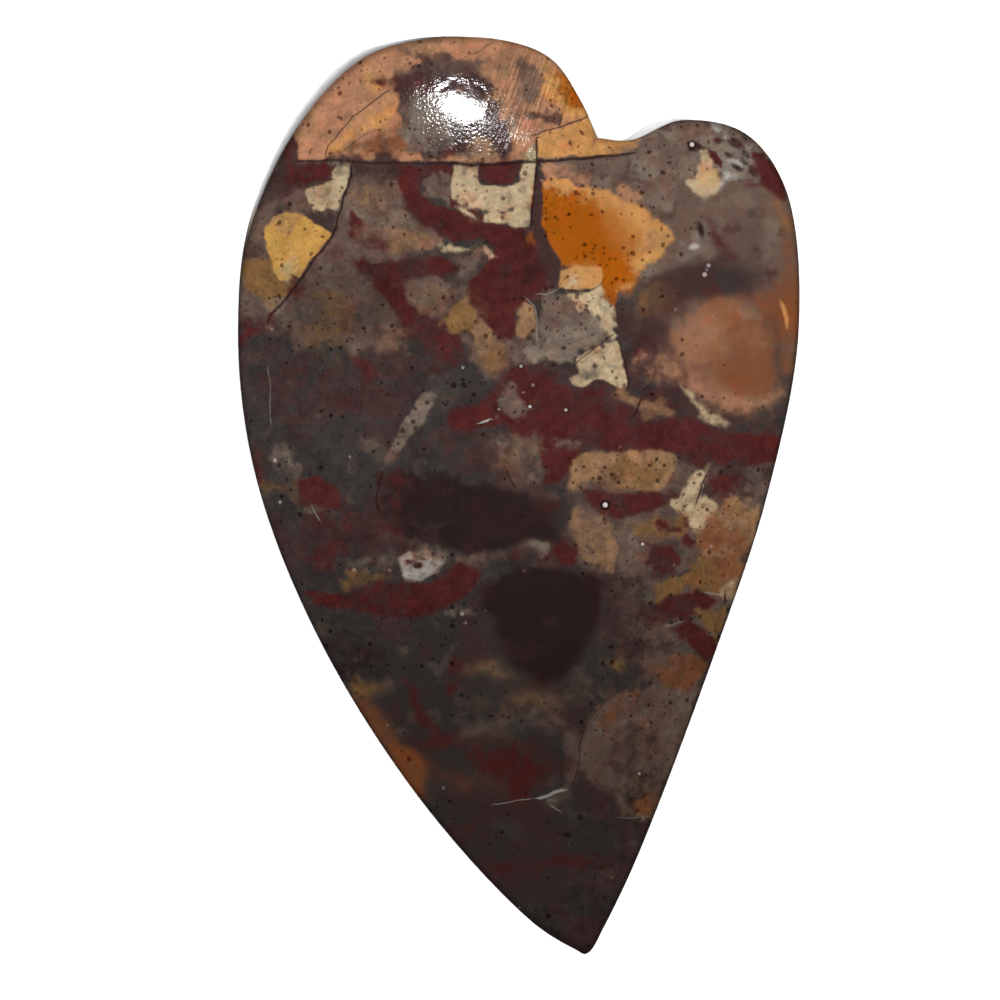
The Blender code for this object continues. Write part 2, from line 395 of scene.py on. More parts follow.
# Each marking has its mineral, edge and strength, and then its shape: x and y of each corner of an
# outline, in pixels, or five numbers for an oval, which are its middle, its half width and half height
# in pixels, and its turn in degrees. Later ones lie on top.
PATCHES = (
    # Wide hazes and the dark glassy lenses, under the rest
    ("taupe", HAZY, 0.6, 225, 150, 430, 150, 440, 240, 400, 345, 330, 350, 262, 330, 225, 350),
    ("taupe", HAZY, 0.95, 540, 150, 700, 90, 830, 180, 830, 300, 640, 330, 600, 280),
    ("plum", HAZY, 0.6, 300, 385, 50, 45, 0),
    ("plum", HAZY, 0.55, 372, 402, 42, 30, 0),
    ("plum", SOFT, 0.8, 612, 300, 640, 280, 700, 262, 745, 265, 755, 300, 700, 300, 672, 315, 690, 390, 730,
     430, 640, 400, 618, 350),
    ("taupe", HAZY, 0.6, 560, 470, 790, 440, 745, 600, 700, 700, 640, 690, 600, 600),
    ("plum", HAZY, 0.6, 620, 596, 24, 44, 10),
    ("plum", HAZY, 0.8, 315, 535, 75, 34, 0),
    ("dark", SOFT, 0.95, 380, 475, 400, 468, 540, 492, 566, 502, 562, 540, 470, 556, 430, 548, 400, 535,
     378, 512),
    ("dark", SOFT, 0.95, 500, 570, 540, 562, 578, 568, 602, 584, 596, 630, 575, 668, 540, 690, 508, 660,
     492, 635, 480, 600),
    ("plum", HAZY, 0.6, 440, 780, 560, 800, 640, 700, 660, 830, 585, 975, 500, 920),
    ("dark", HAZY, 0.45, 350, 660, 40, 34, 0),
    # Upper left
    ("tan", CRISP, 1, 300, 20, 640, 20, 640, 150, 600, 151, 540, 159, 480, 162, 298, 159, 296, 140, 290,
     120),
    ("maroon", SOFT, 0.5, 287, 147, 12, 15, 0),
    ("peach", SOFT, 0.5, 363, 64, 390, 76, 386, 92, 372, 98),
    ("peach", SOFT, 0.65, 384, 92, 402, 100, 400, 117, 360, 138, 340, 158, 326, 158, 335, 140),
    ("amber", SOFT, 0.8, 340, 158, 352, 145, 402, 121, 440, 130, 452, 158),
    ("plum", HAZY, 0.3, 385, 146, 34, 14, 0),
    ("plum", SOFT, 0.95, 390, 84, 414, 56, 440, 52, 462, 57, 478, 70, 486, 86, 396, 97),
    ("taupe", HAZY, 0.8, 440, 62, 30, 10, 0),
    ("maroon", SOFT, 0.8, 412, 84, 20, 8, 0),
    ("plum", SOFT, 0.85, 400, 94, 482, 86, 502, 112, 526, 158, 420, 160, 404, 130),
    # Painted sheen: the grey-blue veil of the glitter beside the lamp's reflection
    ("mauve", SOFT, 0.6, 426, 126, 26, 30, 20),
    ("taupe", SOFT, 0.65, 524, 62, 545, 58, 545, 75, 532, 120, 518, 134, 510, 115),
    ("peach", SOFT, 0.95, 540, 60, 566, 76, 590, 116, 570, 122, 552, 108, 541, 90),
    ("orange", SOFT, 0.7, 552, 70, 566, 74, 584, 96, 586, 110, 570, 106, 556, 90),
    ("plum", RAGGED, 0.6, 534, 112, 550, 104, 564, 109, 566, 117, 536, 130),
    ("peach", CRISP, 1, 537, 136, 575, 124, 587, 118, 596, 139, 642, 140, 620, 153, 537, 158),
    ("sand", RAGGED, 0.6, 615, 146, 16, 5, 0),
    ("plum", SOFT, 0.9, 283, 158, 345, 160, 338, 180, 305, 190, 296, 212, 250, 216),
    ("maroon", RAGGED, 0.8, 290, 163, 348, 160, 336, 176, 322, 183, 300, 187, 282, 180),
    ("taupe", SOFT, 0.8, 256, 200, 270, 190, 300, 190, 310, 210, 285, 211, 246, 232),
    ("cream", CRISP, 1, 305, 190, 328, 181, 337, 181, 333, 172, 339, 165, 351, 163, 350, 174, 336, 211, 316,
     211, 309, 201),
    ("mauve", SOFT, 0.6, 343, 170, 8, 9, 0),
    ("plum", RAGGED, 0.95, 308, 213, 337, 213, 341, 219, 332, 230, 316, 228),
    ("taupe", SOFT, 0.7, 250, 231, 264, 228, 273, 262, 244, 262),
    ("ochre", SMOOTH, 1, 242, 262, 262, 259, 276, 263, 278, 277, 297, 284, 272, 310, 248, 285),
    ("gold", CRISP, 1, 265, 228, 274, 216, 289, 211, 303, 213, 313, 223, 331, 231, 325, 243, 308, 262, 300,
     275, 281, 278, 274, 266),
    ("cream", SOFT, 0.5, 291, 262, 10, 13, 0),
    ("mauve", SOFT, 0.8, 275, 301, 8, 7, 0),
    ("maroon", SOFT, 0.95, 236, 330, 262, 312, 272, 322, 256, 338, 238, 350),
    ("maroon", SOFT, 0.7, 298, 292, 10, 9, 0),
    ("ochre", HAZY, 0.45, 332, 318, 16, 26, 0),
    # Upper middle
    ("taupe", RAGGED, 1, 352, 172, 400, 178, 402, 205, 430, 222, 442, 236, 440, 252, 375, 262, 355, 256,
     344, 240, 344, 215),
    ("plum", SOFT, 0.8, 352, 162, 400, 162, 400, 178, 352, 176),
    ("sand", SOFT, 0.7, 385, 238, 420, 231, 440, 236, 438, 250, 400, 253),
    ("sand", HAZY, 0.4, 372, 205, 16, 22, 0),
    ("maroon", RAGGED, 0.9, 354, 223, 6, 6, 0),
    ("maroon", SOFT, 0.7, 375, 241, 13, 7, 0),
    ("maroon", SMOOTH, 1, 399, 165, 440, 162, 456, 168, 453, 182, 440, 178, 426, 182, 422, 195, 432, 203,
     470, 213, 486, 222, 522, 228, 541, 236, 556, 278, 548, 294, 525, 300, 513, 310, 518, 330, 512, 345,
     498, 344, 468, 298, 470, 280, 490, 260, 492, 248, 478, 240, 440, 238, 424, 226, 408, 211, 399, 196),
    ("taupe", RAGGED, 0.95, 425, 177, 440, 175, 452, 183, 455, 197, 450, 206, 424, 196),
    ("dark", HAZY, 0.5, 528, 266, 14, 28, 0),
    ("plum", SOFT, 0.6, 548, 268, 9, 24, 10),
    ("cream", CRISP, 1, 453, 165, 480, 163, 478, 178, 486, 185, 510, 186, 519, 182, 522, 160, 536, 158, 535,
     185, 529, 226, 520, 228, 486, 221, 466, 214, 452, 205),
    ("mauve", SOFT, 0.5, 463, 175, 11, 9, 0),
    ("mauve", SOFT, 0.5, 497, 218, 26, 5, -8),
    ("maroon", RAGGED, 0.95, 448, 198, 462, 199, 482, 210, 482, 214, 452, 206),
    ("plum", RAGGED, 0.9, 480, 210, 500, 207, 518, 211, 518, 215),
    ("maroon", CRISP, 1, 480, 162, 521, 161, 519, 174, 512, 184, 494, 184, 482, 180, 477, 173),
    ("cream", CRISP, 1, 522, 158, 534, 140, 538, 142, 537, 159),
    ("sand", SOFT, 0.8, 458, 158, 476, 138, 486, 138, 496, 158, 480, 162),
    ("plum", SOFT, 0.8, 536, 182, 541, 184, 544, 228, 536, 236, 532, 226),
    ("cream", RAGGED, 0.85, 441, 251, 450, 243, 482, 244, 490, 249, 496, 261, 489, 262, 478, 251, 460, 248,
     446, 254),
    ("sand", RAGGED, 0.8, 431, 245, 9, 7, 0),
    ("taupe", SOFT, 0.9, 448, 252, 476, 251, 483, 259, 462, 274, 452, 268),
    ("maroon", SMOOTH, 0.95, 354, 258, 364, 255, 372, 262, 395, 262, 412, 256, 445, 256, 458, 267, 445, 276,
     404, 283, 405, 296, 458, 332, 466, 356, 455, 365, 438, 360, 424, 340, 408, 334, 374, 281, 360, 272),
    ("taupe", SOFT, 0.95, 405, 285, 445, 277, 464, 279, 468, 297, 425, 307, 410, 299),
    ("ochre", SOFT, 0.4, 432, 296, 15, 9, 0),
    ("ochre", RAGGED, 0.95, 447, 309, 465, 302, 475, 312, 478, 324, 468, 334, 452, 334, 441, 323),
    ("sand", RAGGED, 0.8, 470, 328, 486, 322, 493, 331, 490, 341, 480, 345, 470, 340),
    ("taupe", SOFT, 0.8, 445, 336, 512, 350, 508, 372, 490, 378),
    ("ochre", SOFT, 0.9, 488, 351, 503, 351, 505, 362, 494, 367, 486, 362),
    ("sand", HAZY, 0.3, 388, 333, 15, 13, 0),
    ("sand", HAZY, 0.45, 446, 302, 470, 300, 492, 322, 505, 350, 500, 368, 484, 362),
    ("maroon", SOFT, 0.6, 366, 365, 13, 10, 0),
    ("taupe", RAGGED, 0.9, 500, 338, 520, 336, 540, 340, 545, 362, 510, 362),
    ("sand", RAGGED, 0.9, 519, 306, 529, 303, 537, 316, 538, 330, 530, 338, 518, 336, 514, 318),
    ("tan", RAGGED, 0.9, 541, 163, 562, 162, 582, 168, 594, 178, 588, 186, 575, 182, 545, 182),
    ("taupe", SOFT, 0.5, 575, 172, 22, 6, -15),
    ("peach", RAGGED, 1, 541, 183, 563, 181, 590, 187, 646, 208, 650, 216, 668, 230, 673, 240, 665, 255,
     613, 291, 606, 292, 601, 268, 573, 268, 548, 245, 541, 225),
    ("sand", RAGGED, 0.5, 655, 240, 16, 14, -30),
    ("orange", HAZY, 0.65, 580, 190, 622, 208, 646, 240, 642, 262, 604, 290, 575, 240),
    ("orange", SOFT, 0.9, 536, 192, 570, 190, 592, 212, 606, 245, 625, 266, 612, 296, 602, 292, 598, 262,
     566, 266, 536, 240),
    ("orange", SOFT, 0.8, 603, 262, 628, 258, 632, 272, 613, 292, 606, 292),
    ("plum", CRISP, 0.9, 532, 226, 536, 182, 541, 182, 542, 226, 550, 246, 561, 260, 560, 286, 548, 286),
    ("peach", CRISP, 0.9, 561, 271, 575, 267, 601, 267, 603, 281, 597, 288, 570, 290, 560, 286),
    ("cream", SOFT, 0.5, 572, 280, 10, 8, 0),
    ("mauve", RAGGED, 1, 538, 300, 562, 291, 614, 334, 565, 363, 522, 358, 526, 345, 538, 336),
    ("taupe", SOFT, 0.8, 540, 300, 562, 294, 586, 312, 596, 330, 560, 328, 540, 335),
    ("cream", RAGGED, 1, 568, 293, 602, 283, 613, 332, 574, 303),
    ("cream", CRISP, 1, 569, 380, 578, 375, 576, 361, 584, 354, 600, 345, 617, 342, 627, 376, 626, 388, 618,
     388, 610, 381, 598, 380, 584, 388, 573, 387),
    ("mauve", SOFT, 0.6, 594, 368, 18, 13, 30),
    # Right lobe
    ("mauve", HAZY, 0.5, 660, 155, 45, 22, 15),
    ("plum", SOFT, 0.25, 612, 172, 30, 9, 0),
    ("tan", SOFT, 0.35, 695, 134, 14, 8, 0),
    ("mauve", RAGGED, 0.9, 688, 143, 706, 138, 724, 139, 752, 154, 762, 166, 758, 182, 742, 184, 722, 172),
    ("quartz", RAGGED, 0.22, 736, 160, 22, 18, 35),
    ("dark", CRISP, 1, 686, 144, 696, 142, 704, 148, 698, 153, 688, 151),
    ("maroon", CRISP, 0.95, 700, 148, 712, 150, 722, 160, 722, 168, 702, 156),
    ("maroon", CRISP, 0.8, 717, 141, 6, 4, 0),
    ("maroon", CRISP, 0.85, 735, 144, 9, 5, -30),
    ("dark", CRISP, 0.8, 728, 156, 7, 3, -20),
    ("dark", CRISP, 0.8, 738, 168, 8, 3, -30),
    ("dark", CRISP, 0.7, 746, 155, 5, 3, -40),
    ("plum", CRISP, 0.8, 753, 172, 6, 4, -40),
    ("quartz", CRISP, 0.5, 736, 163, 9, 2, -20),
    ("dark", CRISP, 0.8, 713, 147, 4, 2, 20),
    ("dark", CRISP, 0.7, 744, 163, 4, 2, -50),
    ("dark", CRISP, 0.7, 731, 178, 5, 2, 10),
    ("maroon", CRISP, 0.8, 748, 180, 4, 2, 0),
    ("maroon", RAGGED, 0.8, 740, 180, 752, 181, 762, 190, 750, 188),
    ("cream", RAGGED, 1, 687, 184, 696, 178, 701, 153, 721, 184, 716, 194, 708, 198, 699, 197),
    ("peach", SOFT, 0.5, 706, 182, 10, 12, 0),
    ("quartz", RAGGED, 0.4, 716, 184, 722, 175, 731, 172, 738, 175, 724, 189, 716, 192),
    ("quartz", SOFT, 0.5, 719, 127, 5, 6, 30),
    ("taupe", SOFT, 1, 712, 200, 745, 186, 764, 194, 785, 214, 797, 240, 800, 290, 760, 290, 735, 262, 718,
     230),
    ("plum", HAZY, 0.4, 742, 240, 20, 26, 0),
    ("maroon", SMOOTH, 0.95, 753, 154, 764, 157, 776, 170, 788, 192, 786, 206, 762, 187),
    # A pale band along the edge: painted glow of light through the translucent stone
    ("sand", SOFT, 0.8, 762, 190, 788, 214, 796, 232, 791, 236),
    ("maroon", SOFT, 0.7, 707, 219, 714, 223, 735, 262, 724, 259, 714, 244),
    ("dark", CRISP, 1, 701, 230, 3, 8, 15),
    ("quartz", SMOOTH, 0.25, 697, 238, 4, 6, 0),
    ("quartz", CRISP, 0.6, 694.5, 247, 5.5, 3, 10),
    ("tan", RAGGED, 1, 616, 191, 622, 186, 643, 195, 640, 202, 628, 202, 618, 197),
    # Right
    ("plum", HAZY, 0.75, 735, 280, 34, 16, 0),
    ("ochre", HAZY, 0.35, 655, 300, 22, 20, 0),
    ("amber", HAZY, 0.7, 741, 296, 800, 284, 800, 350, 790, 375),
    # Painted glow of light through the translucent stone along the right edge
    ("amber", SOFT, 0.6, 792, 290, 9, 60, 0),
    ("plum", HAZY, 0.35, 772, 335, 13, 36, -25),
    ("amber", SOFT, 0.95, 672, 336, 718, 297, 738, 305, 766, 334, 772, 350, 770, 366, 777, 384, 770, 398,
     745, 398, 700, 386),
    ("taupe", HAZY, 0.35, 692, 336, 28, 26, 0),
    ("tan", HAZY, 0.4, 722, 342, 50, 44, 0),
    ("amber", HAZY, 0.7, 742, 374, 30, 22, 0),
    ("tan", HAZY, 0.65, 688, 384, 716, 394, 760, 398, 786, 392, 776, 412, 750, 419, 708, 408),
    ("sand", SOFT, 0.35, 772, 368, 783, 376, 788, 390, 782, 400, 773, 398, 777, 384),
    # More painted glow there, and a bright crescent of light through the translucent edge
    ("orange", SOFT, 0.3, 791, 318, 8, 22, 0),
    ("peach", CRISP, 0.75, 780, 300, 785, 306, 789, 318, 788, 330),
    ("tan", SOFT, 0.3, 660, 368, 26, 18, 0),
    ("sand", RAGGED, 0.9, 612, 395, 624, 392, 674, 411, 664, 417, 655, 414, 646, 421, 635, 422, 640, 412,
     616, 402),
    ("cream", RAGGED, 0.8, 681, 388, 731, 425, 726, 430, 714, 427, 703, 418),
    ("plum", SOFT, 0.6, 756, 424, 24, 10, 0),
    ("maroon", SMOOTH, 1, 507, 372, 517, 366, 545, 366, 572, 388, 606, 386, 614, 400, 630, 408, 642, 425,
     690, 419, 716, 431, 790, 438, 785, 458, 745, 470, 700, 468, 676, 455, 650, 450, 610, 453, 590, 446,
     578, 452, 571, 470, 561, 482, 542, 484, 541, 464, 534, 446, 518, 440, 506, 424, 478, 424, 458, 432,
     444, 424, 448, 409, 480, 402, 500, 388),
    ("plum", HAZY, 0.5, 600, 400, 50, 9, -10),
    ("taupe", RAGGED, 0.95, 499, 397, 511, 389, 530, 406, 524, 416, 510, 418, 498, 413),
    ("taupe", HAZY, 0.95, 488, 440, 515, 438, 532, 448, 540, 484, 505, 484, 490, 468),
    ("ochre", HAZY, 0.35, 512, 462, 18, 18, 0),
    ("taupe", RAGGED, 0.7, 565, 446, 11, 6, 0),
    ("sand", SMOOTH, 1, 570, 486, 572, 468, 578, 460, 586, 453, 604, 451, 611, 455, 624, 452, 662, 451, 676,
     459, 674, 468, 666, 485, 661, 490, 607, 490, 592, 482, 584, 491, 573, 491),
    ("ochre", SOFT, 0.7, 636, 474, 24, 14, 0),
    ("plum", SOFT, 0.5, 606, 477, 15, 12, 0),
    ("maroon", SMOOTH, 1, 586, 492, 682, 494, 674, 505, 622, 519, 602, 518, 592, 506),
    ("plum", SOFT, 0.7, 706, 470, 730, 466, 748, 472, 752, 500, 706, 500),
    ("maroon", SOFT, 0.8, 727, 487, 17, 12, 0),
    ("sand", RAGGED, 1, 694, 530, 714, 518, 722, 508, 745, 500, 758, 502, 762, 515, 738, 580, 700, 580, 694,
     572, 703, 548),
    ("ochre", SOFT, 0.85, 692, 566, 715, 558, 742, 562, 734, 586, 712, 590, 698, 584),
    ("cream", SOFT, 0.6, 731, 586, 6, 12, -15),
    ("amber", HAZY, 0.8, 722, 545, 24, 32, 0),
    ("cream", SMOOTH, 1, 708, 469, 704, 482, 696, 501, 705, 500, 717, 506, 715, 513, 702, 528, 695, 529,
     687, 521, 688, 514, 677, 515, 671, 508, 673, 500, 680, 497, 692, 476),
    ("ochre", SOFT, 0.35, 704, 514, 10, 9, 0),
    ("taupe", SOFT, 0.8, 612, 530, 640, 524, 655, 545, 640, 562, 620, 574),
    ("ochre", RAGGED, 0.7, 638, 526, 656, 519, 684, 520, 690, 528, 680, 537, 655, 538, 640, 537),
    ("maroon", RAGGED, 0.9, 668, 527, 11, 6, 0),
    ("maroon", RAGGED, 0.9, 642, 545, 657, 539, 680, 560, 671, 577, 652, 576),
    ("maroon", RAGGED, 0.9, 688, 539, 6, 9, 0),
    ("sand", RAGGED, 0.85, 569, 526, 574, 512, 581, 507, 590, 517, 603, 519, 613, 530, 618, 558, 610, 571,
     599, 570, 577, 544),
    ("taupe", HAZY, 0.45, 592, 536, 22, 34, -30),
    ("tan", SOFT, 0.35, 606, 560, 9, 11, 0),
    ("maroon", RAGGED, 0.85, 554, 548, 566, 540, 578, 548, 575, 561, 560, 566),
    ("maroon", SOFT, 0.6, 516, 556, 18, 5, 8),
    ("mauve", SOFT, 0.9, 526, 545, 535, 541, 545, 545, 540, 549),
    ("ochre", RAGGED, 0.95, 652, 602, 662, 590, 676, 582, 694, 577, 706, 583, 700, 589, 686, 592, 660, 607),
    ("maroon", SMOOTH, 1, 653, 612, 664, 603, 698, 591, 720, 603, 690, 618),
    ("ochre", RAGGED, 0.9, 700, 613, 730, 606, 715, 642),
    ("maroon", SOFT, 0.6, 662, 620, 14, 8, 0),
    ("maroon", SMOOTH, 1, 674, 630, 690, 624, 702, 628, 713, 641, 716, 656, 707, 661, 682, 642),
    # Left
    ("mauve", HAZY, 0.25, 420, 402, 442, 370, 462, 375, 436, 408),
    ("mauve", CRISP, 0.6, 382, 470, 384, 457, 393, 438, 416, 401, 424, 390, 435, 394, 423, 422, 403, 448),
    ("ochre", CRISP, 0.5, 390, 459, 398, 449, 406, 441, 402, 450),
    ("maroon", HAZY, 0.5, 396, 490, 14, 22, 0),
    ("maroon", SOFT, 0.75, 248, 442, 258, 436, 268, 450, 268, 470, 260, 480, 250, 470),
    ("mauve", RAGGED, 0.5, 268, 448, 276, 440, 290, 450, 302, 462, 304, 474, 292, 478, 276, 470),
    ("ochre", SOFT, 0.45, 258, 480, 300, 487, 300, 496, 262, 496),
    ("maroon", SMOOTH, 0.95, 300, 482, 315, 477, 330, 483, 345, 497, 340, 508, 318, 508, 299, 504),
    ("mauve", RAGGED, 0.5, 314, 512, 14, 4, 0),
    ("maroon", SOFT, 0.45, 338, 506, 388, 519, 397, 531, 386, 541, 346, 519),
    ("maroon", HAZY, 0.3, 328, 530, 28, 14, 0),
    ("dark", HAZY, 0.4, 350, 543, 44, 12, 0),
    ("maroon", SOFT, 0.75, 320, 559, 17, 12, 0),
    ("plum", SOFT, 0.8, 378, 546, 400, 538, 420, 548, 405, 553, 385, 552),
    ("mauve", SOFT, 0.4, 345, 563, 365, 556, 392, 556, 400, 568, 352, 574),
    ("ochre", SOFT, 0.6, 338, 587, 348, 577, 368, 573, 398, 577, 398, 583, 368, 582, 354, 590),
    ("mauve", SOFT, 0.4, 434, 550, 24, 5, -20),
    ("mauve", CRISP, 0.9, 397, 557, 420, 549, 431, 553, 445, 563, 438, 573, 418, 585, 405, 582),
    ("quartz", CRISP, 0.45, 398, 558, 410, 552, 414, 562, 426, 556, 444, 563, 421, 584, 404, 578),
    ("tan", SOFT, 0.4, 422, 558, 10, 8, 0),
    ("maroon", CRISP, 1, 417, 566, 5, 3, 0),
    ("maroon", CRISP, 0.7, 410, 562, 3, 2, 0),
    ("maroon", CRISP, 0.8, 423, 559, 5, 2, -20),
    ("maroon", CRISP, 0.8, 430, 563, 3, 2, 0),
    ("maroon", SMOOTH, 1, 300, 590, 345, 592, 376, 581, 400, 586, 424, 585, 460, 561, 476, 566, 483, 575,
     474, 588, 440, 611, 415, 618, 380, 617, 316, 603),
    ("taupe", SOFT, 0.8, 456, 558, 497, 551, 502, 562, 484, 568),
    ("mauve", RAGGED, 0.45, 445, 612, 474, 607, 480, 616, 448, 619),
    # Lower left
    ("amber", SOFT, 0.6, 350, 700, 366, 692, 402, 740, 425, 760, 428, 800, 405, 800),
    ("orange", SMOOTH, 0.3, 386, 742, 417, 748, 424, 765, 425, 800, 405, 800),
    ("ochre", SOFT, 0.6, 365, 691, 12, 7, 0),
    ("maroon", SOFT, 1, 406, 680, 418, 690, 418, 702, 435, 727, 424, 727, 412, 708),
    ("maroon", SOFT, 0.85, 448, 740, 22, 8, 0),
    ("maroon", SOFT, 0.7, 454, 667, 8, 9, 0),
    ("maroon", SOFT, 0.9, 451, 690, 7, 11, 0),
    ("ochre", SOFT, 0.3, 500, 738, 17, 9, 0),
    ("sand", HAZY, 0.45, 520, 702, 34, 12, 5),
    ("sand", SOFT, 0.55, 480, 668, 13, 6, 10),
    ("sand", SOFT, 0.5, 500, 675, 12, 6, -10),
    ("taupe", SOFT, 0.6, 449, 744, 480, 724, 517, 710, 556, 718, 582, 738, 588, 765, 570, 792, 556, 802,
     572, 762, 562, 738, 517, 724),
    ("amber", HAZY, 0.4, 474, 781, 46, 14, -10),
    ("maroon", HAZY, 0.5, 466, 755, 500, 744, 548, 745, 574, 758, 574, 776, 556, 792, 520, 798, 485, 786),
    ("maroon", SOFT, 0.8, 466, 752, 486, 757, 520, 755, 530, 766, 522, 798, 514, 798, 508, 778, 484, 768),
    ("mauve", SOFT, 0.45, 556, 803, 15, 9, 0),
    # Lower right
    ("taupe", SMOOTH, 0.95, 586, 724, 597, 712, 624, 695, 640, 697, 654, 690, 656, 680, 702, 680, 665, 798,
     655, 818, 642, 822, 624, 817, 604, 792, 584, 782, 582, 755),
    ("plum", HAZY, 0.3, 630, 738, 30, 18, 0),
    ("tan", HAZY, 0.2, 650, 745, 26, 30, 0),
    ("amber", SMOOTH, 0.8, 650, 672, 676, 655, 694, 656, 708, 668, 702, 684, 688, 692, 668, 690),
    ("amber", SOFT, 0.8, 600, 730, 602, 717, 622, 702, 636, 699, 612, 728),
    ("dark", HAZY, 0.6, 642, 786, 20, 14, 0),
    ("amber", SOFT, 0.7, 649, 804, 9, 9, 0),
    ("ochre", SOFT, 0.6, 618, 665, 10, 6, 0),
    ("slate", SOFT, 0.9, 586, 838, 34, 18, -40),
    ("maroon", SOFT, 0.7, 540, 868, 56, 9, 4),
    ("maroon", SOFT, 0.6, 516, 833, 10, 5, 0),
    ("slate", SOFT, 0.9, 508, 832, 16, 12, -20),
)

# How each mineral clouds into others: (mineral, what it turns into, size in mm, seed, threshold of the
# noise, softness of the threshold, strength)
CLOUDINGS = (
    ("slate", "plum", 2.1, 101, 0.0, 0.35, 0.65),
    ("slate", "taupe", 1.3, 102, 0.3, 0.3, 0.45),
    ("slate", "maroon", 1.5, 103, 0.5, 0.2, 0.4),
    ("slate", "mauve", 0.8, 104, 0.45, 0.25, 0.35),
    ("dark", "plum", 1.5, 105, 0.15, 0.35, 0.5),
    ("dark", "maroon", 1.9, 121, 0.4, 0.3, 0.3),
    ("taupe", "mauve", 1.0, 106, 0.1, 0.35, 0.5),
    ("taupe", "ochre", 0.9, 107, 0.3, 0.3, 0.25),
    ("taupe", "plum", 0.8, 108, 0.25, 0.3, 0.55),
    ("mauve", "taupe", 0.8, 110, 0.05, 0.3, 0.5),
    ("mauve", "plum", 0.5, 111, 0.4, 0.2, 0.45),
    ("plum", "slate", 0.9, 122, 0.2, 0.3, 0.6),
    ("plum", "maroon", 1.2, 123, 0.35, 0.25, 0.45),
    ("tan", "sand", 1.3, 113, 0.15, 0.4, 0.5),
    ("tan", "taupe", 0.7, 114, 0.45, 0.25, 0.35),
    ("sand", "ochre", 0.8, 124, 0.15, 0.3, 0.45),
    ("sand", "taupe", 0.5, 125, 0.3, 0.25, 0.5),
    ("maroon", "plum", 0.9, 115, 0.2, 0.35, 0.55),
    ("maroon", "slate", 0.6, 116, 0.55, 0.15, 0.4),
    ("cream", "sand", 0.7, 117, 0.2, 0.3, 0.4),
    ("cream", "mauve", 0.45, 118, 0.35, 0.25, 0.45),
    ("gold", "sand", 0.7, 119, 0.2, 0.3, 0.5),
    ("peach", "sand", 0.7, 126, 0.3, 0.3, 0.35),
    ("amber", "taupe", 1.0, 120, 0.25, 0.3, 0.4),
)

# Fractures healed with dark mineral, and pale quartz threads: (width in mm, strength, x and y of each
# point in pixels)
DARK_LINES = (
    (0.1, 0.85, 352, 166, 349, 182, 345, 195, 339, 213, 337, 224),
    (0.13, 0.8, 337, 224, 328, 243, 316, 256, 304, 272, 294, 288, 284, 301, 270, 313),
    (0.09, 0.8, 270, 313, 268, 322),
    (0.06, 0.75, 325, 155, 329, 145, 340, 132, 352, 117, 366, 107, 378, 97, 388, 91),
    (0.05, 0.5, 345, 150, 362, 136, 380, 128),
    (0.04, 0.5, 400, 88, 412, 68, 420, 60, 428, 42),
    (0.04, 0.5, 455, 62, 478, 52, 492, 43),
    (0.1, 0.65, 300, 160, 340, 160, 360, 162, 400, 163, 450, 163),
    (0.15, 0.85, 450, 163, 480, 165, 520, 162, 545, 161, 585, 158, 605, 156),
    (0.15, 0.75, 605, 156, 620, 155, 632, 154),
    (0.07, 0.75, 535, 135, 550, 130, 572, 123, 587, 117),
    (0.1, 0.85, 537, 140, 536, 175, 534, 195, 531, 225),
    (0.06, 0.6, 560, 289, 585, 292, 598, 287, 604, 280),
    (0.06, 0.7, 613, 335, 600, 345, 586, 355, 576, 364),
    (0.07, 0.7, 619, 344, 626, 364, 629, 380, 627, 390),
    (0.05, 0.5, 540, 298, 538, 320, 539, 338),
    (0.09, 0.8, 383, 471, 379, 482, 376, 496, 378, 510),
    (0.09, 0.6, 506, 470, 510, 478, 514, 486),
    (0.1, 0.9, 632, 417, 637, 412, 640, 401),
    (0.09, 0.8, 697, 503, 703, 484, 707, 476),
    (0.1, 0.8, 726, 596, 726, 604),
    (0.08, 0.5, 574, 785, 580, 765, 580, 745, 588, 722, 604, 706),
    (0.1, 0.7, 560, 836, 570, 838),
)
PALE_LINES = (
    (0.05, 0.5, 496, 806, 510, 804, 518, 802, 530, 801),
    (0.14, 0.85, 540, 800, 548, 798, 555, 794, 563, 792),
    (0.08, 0.4, 552, 808, 559, 813),
    (0.05, 0.25, 268, 368, 271, 385, 270, 405, 271, 422),
    (0.06, 0.3, 527, 299, 534, 306, 538, 320, 537, 338),
    (0.05, 0.45, 541, 294, 548, 295, 556, 290),
    (0.06, 0.25, 668, 627, 682, 624),
    (0.07, 0.4, 705, 594, 722, 596),
    (0.05, 0.5, 312, 508, 318, 518),
    (0.06, 0.25, 622, 821, 648, 820),
    (0.1, 0.9, 482, 422, 488, 420),
)

# Tiny bright flecks, some of them in a dark ring: (x, y, radius and ring's radius in pixels, strength)
FLECKS = (
    (605.5, 505.5, 2.4, 5.2, 1), (643, 545, 1.7, 2.6, 0.7), (640, 776, 1.4, 3.6, 0.5),
    (530, 406.5, 1.6, 3, 0.7), (566, 410, 1.5, 2.8, 0.7), (521, 366, 1.5, 3.4, 0.5),
    (463, 367, 1.6, 2.6, 0.35), (533, 385, 1.6, 0, 0.3), (499, 409, 1.4, 2.6, 0.4), (705, 275, 2.2, 0, 0.5),
    (709, 266, 2, 0, 0.4), (692, 145, 2.2, 4, 0.8), (462, 614, 2, 0, 0.4), (354, 569, 1.8, 0, 0.25),
    (275, 459, 1.8, 0, 0.4), (280, 501, 1.6, 0, 0.35),
)

